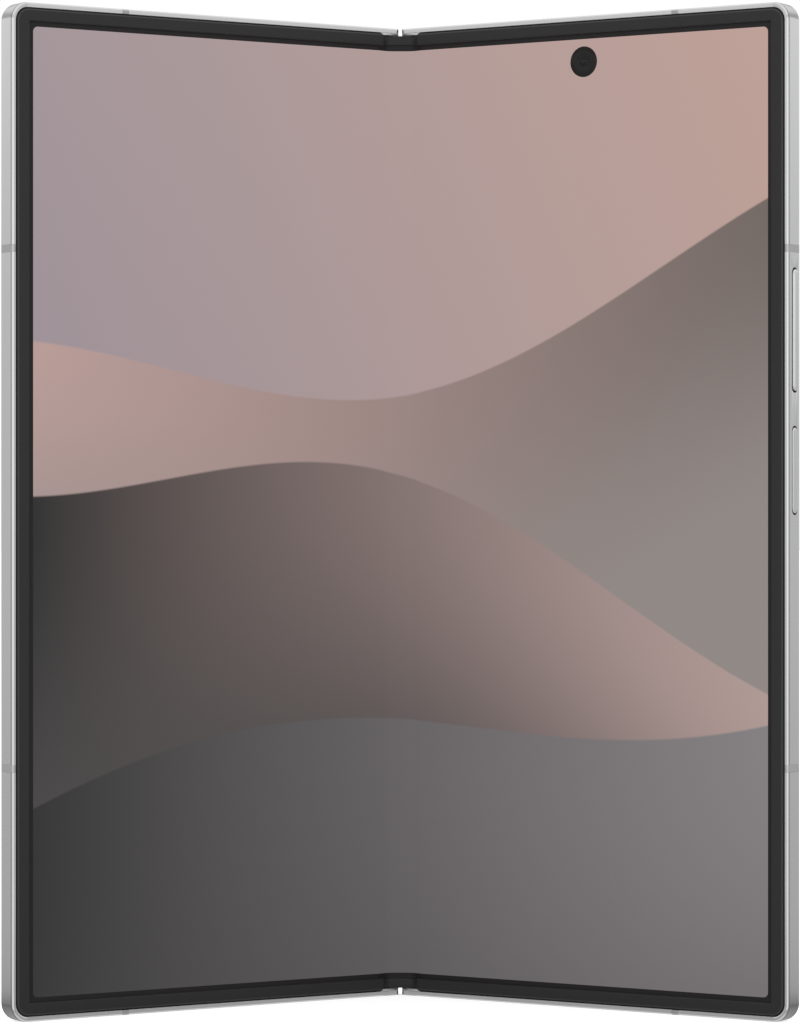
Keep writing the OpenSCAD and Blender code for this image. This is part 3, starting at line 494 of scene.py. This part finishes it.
# Folding screen: one sheet in two pieces that meet on the centre line
screen = {
    "face": 0.35, "thickness": 0.5, "edgeS": 70.53, "edgeZ": 1.26, "edgeRadius": 1.78,
    "pictureS": 67.95, "leftTrim": 0.11, "pictureZ": 3.75, "pictureRadius": 0.8,
    "lensS": 34.92, "lensZ": 151.04, "lensRadius": 2.45, "lensSteps": 64, "columns": 26,
}


def bendWithFold(piece):
    """Bakes the placement of a piece into its mesh."""
    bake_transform(piece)


def screenHalf(name, side, nodes):
    mesh = bmesh.new()
    height = phone["height"]
    r = screen["edgeRadius"]
    outline = roundedOutline((0, screen["edgeZ"]), (screen["edgeS"], height - screen["edgeZ"]), (0, r, r, 0))
    rim = edgeLoop(mesh, outline)
    r = screen["pictureRadius"]
    litEdge = screen["pictureS"] - (screen["leftTrim"] if side < 0 else 0)
    lit = roundedOutline((0.0001, screen["pictureZ"]), (litEdge, height - screen["pictureZ"]), (0, r, r, 0))
    inner = edgeLoop(mesh, lit)
    border = bmesh.ops.triangle_fill(mesh, use_beauty=True, edges=rim + inner)["geom"]
    for face in [g for g in border if isinstance(g, bmesh.types.BMFace)]:
        face.material_index = 1
    holes = []
    if side > 0:
        circle = roundedCorner(screen["lensS"], screen["lensZ"], screen["lensRadius"], 0, 360,
                               screen["lensSteps"])
        holes = edgeLoop(mesh, circle[:-1])
    bmesh.ops.triangle_fill(mesh, use_beauty=True, edges=inner + holes)
    for i in range(1, screen["columns"] + 1):
        cut = phone["foldEnd"] * i / screen["columns"]
        bmesh.ops.bisect_plane(mesh, geom=mesh.verts[:] + mesh.edges[:] + mesh.faces[:], dist=1e-5,
                               plane_co=(cut, 0, 0), plane_no=(1, 0, 0))
    made = bmesh.ops.extrude_face_region(mesh, geom=mesh.faces[:], use_keep_orig=True)["geom"]
    for g in made:
        if isinstance(g, bmesh.types.BMVert):
            g.co.y += screen["thickness"]
    for face in mesh.faces:
        if max(v.co.y for v in face.verts) > 1e-6:
            face.material_index = 1
    layerUv = mesh.loops.layers.uv.new("flat")
    span = 2 * screen["pictureS"]
    for face in mesh.faces:
        for loop in face.loops:
            s, z = loop.vert.co.x, loop.vert.co.z
            loop[layerUv].uv = ((side * s + screen["pictureS"]) / span,
                                (z - screen["pictureZ"]) / (height - 2 * screen["pictureZ"]))
    for vert in mesh.verts:
        vert.co = placeSheet(vert.co.x, screen["face"] + vert.co.y, vert.co.z, side)
    bmesh.ops.recalc_face_normals(mesh, faces=mesh.faces[:])
    piece = newPiece(name, mesh, "display_film", [pictureMaterial, borderMaterial])
    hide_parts(*nodes)
    bendWithFold(piece)


# Outer slope of the bezel, darker and duller than the bezel: painted shade of the gap beside the metal lip
gapShadeMaterial = finish("shadedGap", tone(36), 0.6, specular=0.1)
# Crest of the bezel, lighter and glossier than the bezel: painted highlight line
crestHighlightMaterial = finish("bezelCrestHighlight", tone(50), 0.34, specular=0.45)


def rimLine(insetS, insetZ, edgeS, edgeZ, radius, endS, steps=12):
    """Points of a line round the three outer edges of a half, at an inset from (edgeS, edgeZ)."""
    low, high = edgeZ + insetZ, phone["height"] - edgeZ - insetZ
    side = edgeS - insetS
    r = max(radius - max(insetS, insetZ), 0.12)
    return ([(endS, low)] + roundedCorner(side - r, low + r, r, 270, 360, steps)
            + roundedCorner(side - r, high - r, r, 0, 90, steps) + [(endS, high)])


def loftRows(mesh, rows, material=0):
    """Faces between rows of verts."""
    for first, second in zip(rows, rows[1:]):
        for i in range(len(first) - 1):
            face = mesh.faces.new((first[i], first[i + 1], second[i + 1], second[i]))
            face.material_index = material


# Raised bezel round the screen. profile is (inset from the outer edge, depth from the face)
bezel = {
    "edgeS": 70.98, "edgeZ": 0.81, "radius": 2.23, "end": 3.7, "endRadius": 0.6, "endsWidth": 0.885,
    "shadedGap": [(0.0, 0.34), (0.0, 0.30), (0.06, 0.24), (0.25, 0.11), (0.28, 0.085)],
    "crest": [(0.28, 0.085), (0.32, 0.045), (0.38, 0.018), (0.45, 0.004), (0.53, 0.0)],
    "profile": [(0.53, 0.0), (1.2, 0.0), (2.16, 0.0), (2.26, 0.008), (2.34, 0.035), (2.41, 0.09),
                (2.455, 0.19), (2.48, 0.34)],
}


def bezelHalf(name, side, node):
    mesh = bmesh.new()
    for index, profile in ((1, bezel["shadedGap"]), (2, bezel["crest"]), (0, bezel["profile"])):
        rows = []
        for inset, depth in profile:
            short = max(bezel["endRadius"] - inset, 0)
            end = bezel["end"] + bezel["endRadius"] - sqrt(bezel["endRadius"] ** 2 - short ** 2)
            line = rimLine(inset, inset * bezel["endsWidth"], bezel["edgeS"], bezel["edgeZ"],
                           bezel["radius"], end)
            rows.append([mesh.verts.new(place(s, depth, z, side)) for s, z in line])
        loftRows(mesh, rows, index)
    bmesh.ops.remove_doubles(mesh, verts=mesh.verts[:], dist=1e-7)
    edges = [e for e in mesh.edges if e.is_boundary]
    bmesh.ops.holes_fill(mesh, edges=edges, sides=0)
    bmesh.ops.recalc_face_normals(mesh, faces=mesh.faces[:])
    materials = [finishes["bezel_plastic"], gapShadeMaterial, crestHighlightMaterial]
    piece = newPiece(name, mesh, "bezel_plastic", materials, smoothAngle=30)
    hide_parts(node)
    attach(piece, "right_half" if side > 0 else "left_half")


bezelHalf("rightBezel", 1, "right_bezel")
bezelHalf("leftBezel", -1, "left_bezel")

# Caps that bridge the bezel over the fold
hingeCap = {
    "end": 3.9, "top": 0.13, "bottom": 0.34, "lowZ": 1.3, "highZ": 2.8, "round": 0.16, "columns": 18,
}


def capHalf(name, side, upper, nodes):
    mesh = bmesh.new()
    c = hingeCap
    section = [(c["lowZ"], c["bottom"])]
    for z, start in ((c["lowZ"] + c["round"], 180), (c["highZ"] - c["round"], 270)):
        section += [(z + c["round"] * cos(radians(a)), c["top"] + c["round"] * (1 + sin(radians(a))))
                    for a in range(start, start + 91, 15)]
    section.append((c["highZ"], c["bottom"]))
    rows = []
    for i in range(c["columns"] + 1):
        s = c["end"] * i / c["columns"]
        rows.append([mesh.verts.new(placeSheet(s, v, phone["height"] - z if upper else z, side))
                     for z, v in section])
    loftRows(mesh, rows)
    bmesh.ops.contextual_create(mesh, geom=rows[-1])
    for first, second in zip(rows, rows[1:]):
        mesh.faces.new((first[0], first[-1], second[-1], second[0]))
    bmesh.ops.recalc_face_normals(mesh, faces=mesh.faces[:])
    piece = newPiece(name, mesh, "bezel_plastic", smoothAngle=30)
    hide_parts(*nodes)
    bendWithFold(piece)


capHalf("upperCapRight", 1, True, ["hinge_cap_upper"])
capHalf("upperCapLeft", -1, True, [])
capHalf("lowerCapRight", 1, False, ["hinge_cap_lower"])
capHalf("lowerCapLeft", -1, False, [])
print("bezel ready")

screenHalf("rightScreen", 1, ["right_display", "display_fold"])
screenHalf("leftScreen", -1, ["left_display"])
print("screen ready")


def insetOutline(low, high, radius, steps=12):
    """Function that gives the outline of a rounded rectangle at an inset."""
    def outline(inset):
        r = max(radius - inset, 0.04)
        return roundedOutline((low[0] + inset, low[1] + inset), (high[0] - inset, high[1] - inset),
                              (r,) * 4, steps)
    return outline


def loftRings(mesh, rings, material, capStart, capEnd):
    """Body from rings of verts, with a flat cap on either end."""
    loftRows(mesh, [ring + ring[:1] for ring in rings], material)
    for ring, wanted in ((rings[0], capStart), (rings[-1], capEnd)):
        if wanted:
            mesh.faces.new(ring).material_index = material


def outlineLoft(mesh, outline, profile, mapper, material=0, caps=(True, True)):
    """Body from one outline at several insets. profile is (inset, height); mapper gives the point."""
    rings = [[mesh.verts.new(mapper(a, b, height)) for a, b in outline(inset)] for inset, height in profile]
    loftRings(mesh, rings, material, *caps)


def lathe(mesh, profile, mapper, material=0, steps=72, capStart=False, capEnd=False):
    """Turned body. profile is (radius, height); mapper(a, b, height) gives the point."""
    circle = [(cos(2 * pi * i / steps), sin(2 * pi * i / steps)) for i in range(steps)]
    rings = [[mesh.verts.new(mapper(r * a, r * b, height)) for a, b in circle] for r, height in profile]
    loftRings(mesh, rings, material, capStart, capEnd)


def closeMesh(mesh):
    bmesh.ops.remove_doubles(mesh, verts=mesh.verts[:], dist=1e-8)
    bmesh.ops.recalc_face_normals(mesh, faces=mesh.faces[:])


def arcProfile(radius, inset, height, steps=5):
    """Rounded edge that ends at (inset, height), from an upright wall to a flat top."""
    turns = [radians(90 * i / steps) for i in range(steps + 1)]
    return [(inset - radius * cos(turn), height - radius * (1 - sin(turn))) for turn in turns]


# Keys in the right rail: their outline lies in (v, z) and they rise along s
keys = {
    "width": 1.56, "middle": 2.35, "sunk": 0.04, "crownReach": 0.2, "crownRise": 0.01,
    "flangeDepth": (1.61, 3.64), "flangeReach": 0.35, "flangeRadius": 0.9,
    "power": {"z": 85.65, "length": 13.7, "proud": 0.12, "round": 0.16, "gap": 0.17,
              "flange": (69.23, 69.58)},
    "volume": {"z": 107.45, "length": 19.3, "proud": 0.36, "round": 0.34, "gap": 0.18,
               "flange": (69.01, 69.36)},
}
# Dark dull sides of the keys: painted shade of the gap round each key
keyWallShade = finish("keyWallShade", tone(62), 0.6, specular=0.1)


def sideKey(name, body, values, node):
    mesh = bmesh.new()
    half = values["length"] / 2

    def toRow(v, z, s):
        return place(s, v, z)

    low = (keys["middle"] - keys["width"] / 2, values["z"] - half + values["gap"])
    high = (keys["middle"] + keys["width"] / 2, values["z"] + half - values["gap"])
    top = phone["halfWidth"] + values["proud"]
    crown = arcProfile(values["round"], values["round"], top)
    crown.append((values["round"] + keys["crownReach"], top + keys["crownRise"]))
    outline = insetOutline(low, high, keys["width"] / 2)
    sunk = phone["halfWidth"] - keys["sunk"]
    outlineLoft(mesh, outline, [(0, values["flange"][0]), (0, sunk)], toRow, 1, caps=(True, False))
    outlineLoft(mesh, outline, [(0, sunk)] + crown[:-1], toRow, 2, caps=(False, False))
    outlineLoft(mesh, outline, crown[-2:], toRow, 0, caps=(False, True))
    low = (keys["flangeDepth"][0], values["z"] - half - keys["flangeReach"])
    high = (keys["flangeDepth"][1], values["z"] + half + keys["flangeReach"])
    outline = insetOutline(low, high, keys["flangeRadius"])
    outlineLoft(mesh, outline, [(0, s) for s in values["flange"]], toRow)
    closeMesh(mesh)
    materials = [finishes["key_metal"], keyWallShade, polishedMaterial]
    piece = newPiece(name, mesh, "key_metal", materials, smoothAngle=30)
    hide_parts(node)
    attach(piece, body)


sideKey("powerKey", "power_key", keys["power"], "power_key")
sideKey("volumeKey", "volume_key", keys["volume"], "volume_key")
print("keys ready")

# Window of the camera behind the screen. The profiles are (radius, v)
window = {
    "pane": [(2.47, 0.76), (2.47, 0.38), (2.42, 0.36), (1.35, 0.36)],
    "ring": [(1.35, 0.36), (1.29, 0.4), (0.88, 0.42), (0.8, 0.46)],
    "lensRadius": 0.8, "lensEdge": 0.46, "lensDome": 0.09, "lensAngles": (90, 70, 50, 32, 16, 4),
}
windowMaterial = finish("lensWindow", tone(16, 15, 14), 0.24, specular=0.3)
windowRing = finish("lensRing", tone(20, 20, 20), 0.4, specular=0.3)
windowLens = finish("lensBead", tone(8, 9, 10), 0.1, specular=0.32)


def throughScreen(a, b, height):
    return place(screen["lensS"] + a, height, screen["lensZ"] + b)


def domeProfile(radius, edge, rise, angles):
    """Dome on a circle: angles run from 90 at the rim towards the middle."""
    return [(radius * sin(radians(a)), edge + rise * cos(radians(a))) for a in angles]


mesh = bmesh.new()
lathe(mesh, window["pane"], throughScreen, 0, capStart=True)
lathe(mesh, window["ring"], throughScreen, 1)
dome = domeProfile(window["lensRadius"], window["lensEdge"], -window["lensDome"], window["lensAngles"])
lathe(mesh, dome, throughScreen, 2, capEnd=True)
closeMesh(mesh)
piece = newPiece("screenLens", mesh, "camera_body", [windowMaterial, windowRing, windowLens], smoothAngle=25)
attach(piece, "right_half")
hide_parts("front_camera")

# Rear camera island, rings, lenses and lamp. Heights are v, which grows away from the back
island = {
    "s": 57.6, "z": 123.4, "width": 20.0, "length": 56.0, "top": 5.6, "edge": 0.45, "step": 0.35, "steps": 32,
    "foot": [(0.0, 4.15), (0.0, 4.4), (0.03, 4.46), (0.35, 4.51)],
    "pitch": 17.0, "ringOuter": 6.7, "ringInner": 5.53, "ringTop": 6.1, "seat": 0.97, "seatSteps": 96,
}


def onIsland(dz):
    """Mapper for bodies that turn about the middle of a lens, dz above the middle of the island."""
    def mapper(a, b, height):
        return place(island["s"] + a, height, island["z"] + dz + b)
    return mapper


mesh = bmesh.new()
half = (island["width"] / 2, island["length"] / 2)
outline = insetOutline((-half[0], -half[1]), half, island["width"] / 2, island["steps"])
crown = arcProfile(island["edge"], island["step"] + island["edge"], island["top"], steps=8)
outlineLoft(mesh, outline, island["foot"] + crown, onIsland(0), caps=(True, False))
edges = [e for e in mesh.edges if e.is_boundary]
for dz in (-island["pitch"], 0, island["pitch"]):
    reach, count = island["ringOuter"] * island["seat"], island["seatSteps"]
    turns = [2 * pi * k / count for k in range(count)]
    ring = [mesh.verts.new(onIsland(dz)(reach * cos(turn), reach * sin(turn), island["top"]))
            for turn in turns]
    edges += [mesh.edges.new((ring[k], ring[(k + 1) % count])) for k in range(count)]
bmesh.ops.triangle_fill(mesh, use_beauty=True, edges=edges)
bmesh.ops.recalc_face_normals(mesh, faces=mesh.faces[:])
piece = newPiece("cameraIsland", mesh, "frame_metal", smoothAngle=30)
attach(piece, "right_half")
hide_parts("camera_island")

# Lens rings. Their section is given in steps from the outer or inner radius and from the island or ring top
outer, inner, low, high = island["ringOuter"], island["ringInner"], island["top"], island["ringTop"]
ringSection = (
    [(outer + a, low + b) for a, b in ((-0.2, -0.4), (-0.2, -0.02), (-0.06, 0), (0, 0.08))]
    + [(outer + a, high + b) for a, b in ((0, -0.2), (-0.05, -0.08), (-0.16, 0))]
    + [(inner + a, high + b) for a, b in ((0.42, 0), (0.34, -0.03), (0.06, -0.2), (0, -0.24))]
    + [(inner, low - 0.4), (outer - 0.2, low - 0.4)])
mesh = bmesh.new()
for dz in (-island["pitch"], 0, island["pitch"]):
    lathe(mesh, ringSection, onIsland(dz), steps=128)
closeMesh(mesh)
piece = newPiece("lensRings", mesh, "ring_metal", smoothAngle=25)
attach(piece, "right_half")
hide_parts("lens_rings")

# Lens glasses: black pane, stepped barrel and domed front lens, each camera at its own scale
glasses = {
    "scales": (0.82, 1.0, 0.9), "play": 0.03, "sunk": 0.3, "pane": 3.7, "barrel": 3.2, "lens": 2.25,
    "lensDepth": 0.42, "dome": 0.3, "domeAngles": (90, 78, 66, 54, 42, 30, 18, 7),
}
lensBlack = finish("lensBlack", tone(10, 10, 11), 0.05)
lensBarrel = finish("lensBarrel", tone(30, 30, 32), 0.38, specular=0.4)
lensCoated = finish("lensCoated", tone(8, 12, 20), 0.04, specular=0.8, coat=1.0)
mesh = bmesh.new()
for dz, scale in zip((-island["pitch"], 0, island["pitch"]), glasses["scales"]):
    rim, face = island["ringInner"] - glasses["play"], island["ringTop"] - glasses["sunk"]
    a, b, c = glasses["pane"] * scale, glasses["barrel"] * scale, glasses["lens"] * scale
    lathe(mesh, [(rim, island["top"] - 0.5), (rim, face - 0.04), (rim - 0.08, face), (a, face)],
          onIsland(dz), 0, steps=128, capStart=True)
    lathe(mesh, [(a, face), (a - 0.1, face - 0.12), (b, face - 0.14), (b - 0.04, face - 0.26),
                 (b - 0.35, face - 0.28), (b - 0.39, face - 0.4), (c, face - glasses["lensDepth"])],
          onIsland(dz), 1, steps=128)
    lathe(mesh, domeProfile(c, face - glasses["lensDepth"], glasses["dome"], glasses["domeAngles"]),
          onIsland(dz), 2, steps=96, capEnd=True)
closeMesh(mesh)
piece = newPiece("rearLenses", mesh, "lens_glass", [lensBlack, lensBarrel, lensCoated], smoothAngle=25)
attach(piece, "right_half")
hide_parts("lens_glasses")

# Lamp window with a face of fine rings
flash = {
    "z": 148.9, "radius": 1.5, "depth": 0.6, "edge": 0.06, "rings": 6, "ringStart": 0.12, "ringRise": 0.05,
    "ringWidth": 0.86, "middle": 0.06,
}


def onFlash(a, b, height):
    return place(island["s"] + a, height, flash["z"] + b)


mesh = bmesh.new()
r, t = flash["radius"], island["top"]
profile = [(r, t - flash["depth"]), (r, t - 0.02), (r - flash["edge"], t + 0.02)]
for k in range(flash["rings"]):
    outer = (r - flash["ringStart"]) * (1 - k / flash["rings"])
    last = k == flash["rings"] - 1
    profile += [(outer, t), (flash["middle"] if last else outer * flash["ringWidth"], t + flash["ringRise"])]
lathe(mesh, profile, onFlash, steps=64, capStart=True, capEnd=True)
closeMesh(mesh)
piece = newPiece("flashWindow", mesh, "flash_diffuser", smoothAngle=15)
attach(piece, "right_half")
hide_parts("flash_lamp")
print("cameras ready")

# Flat cables behind the folding screen, in two halves that bend with it
flex = {"reach": 7.95, "depth": 1.65, "thickness": 0.14, "width": 11, "places": (55.2, 103.2), "columns": 16}
for name, side in (("flexCablesRight", 1), ("flexCablesLeft", -1)):
    mesh = bmesh.new()
    half, back = flex["width"] / 2, flex["thickness"]
    section = ((0, -half), (0, half), (back, half), (back, -half))
    for middle in flex["places"]:
        rows = []
        for i in range(flex["columns"] + 1):
            s = flex["reach"] * i / flex["columns"]
            rows.append([mesh.verts.new(placeSheet(s, flex["depth"] + v, middle + z, side))
                         for v, z in section])
        loftRings(mesh, rows, 0, True, True)
    bmesh.ops.recalc_face_normals(mesh, faces=mesh.faces[:])
    piece = newPiece(name, mesh, "copper", smoothAngle=30)
    if side > 0:
        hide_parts("hinge_flex_cables")
    bendWithFold(piece)
print("cables ready")

# Glass on the back of the left half: black border, dark screen behind it, camera window
cover = {
    "low": (4.95, 0.68), "high": (70.92, 157.72), "radius": 2.17, "face": 4.2, "thickness": 0.5, "edge": 0.2,
    "screenInset": (1.3, 1.6), "screenRadius": 1.4, "camera": (37.175, 150.4), "cameraRadius": 2.0,
    "beadRadius": 0.9, "steps": 48,
}
coverScreen = finish("coverScreen", tone(20, 20, 23), 0.08, specular=0.45)
coverBead = finish("coverBead", tone(7, 10, 15), 0.05, specular=0.8, coat=1.0)


def coverRectangle(insetS, insetZ, radii, steps):
    (lowS, lowZ), (highS, highZ) = cover["low"], cover["high"]
    return roundedOutline((lowS + insetS, lowZ + insetZ), (highS - insetS, highZ - insetZ), radii, steps)


def coverOutline(inset):
    r = cover["radius"] - inset
    return coverRectangle(inset, inset, (0, r, r, 0), 12)


def onCover(s, z, v):
    return place(s, v, z, -1)


def coverLoop(mesh, points):
    """Verts and edges of a closed loop on the face of the glass."""
    verts = [mesh.verts.new(onCover(s, z, cover["face"])) for s, z in points]
    return verts, [mesh.edges.new((verts[i], verts[(i + 1) % len(verts)])) for i in range(len(verts))]


def coverCircle(mesh, radius):
    return coverLoop(mesh, roundedCorner(*cover["camera"], radius, 0, 360, cover["steps"])[:-1])


mesh = bmesh.new()
foot = [(0, cover["face"] - cover["thickness"])]
crown = arcProfile(cover["edge"], cover["edge"], cover["face"], steps=6)
outlineLoft(mesh, coverOutline, foot + crown, onCover, 0, caps=(True, False))
outer = [e for e in mesh.edges if e.is_boundary]
lit = coverLoop(mesh, coverRectangle(*cover["screenInset"], (cover["screenRadius"],) * 4, 10))[1]
rim = coverCircle(mesh, cover["cameraRadius"])[1]
bead, beadRim = coverCircle(mesh, cover["beadRadius"])
bmesh.ops.triangle_fill(mesh, use_beauty=True, edges=outer + lit)
filled = bmesh.ops.triangle_fill(mesh, use_beauty=True, edges=lit + rim)["geom"]
for face in filled:
    if isinstance(face, bmesh.types.BMFace):
        face.material_index = 1
bmesh.ops.triangle_fill(mesh, use_beauty=True, edges=rim + beadRim)
mesh.faces.new(bead).material_index = 2
bmesh.ops.recalc_face_normals(mesh, faces=mesh.faces[:])
materials = [finishes["cover_glass"], coverScreen, coverBead]
piece = newPiece("coverGlass", mesh, "cover_glass", materials, smoothAngle=30)
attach(piece, "left_half")
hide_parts("cover_glass")
print("cover glass ready")
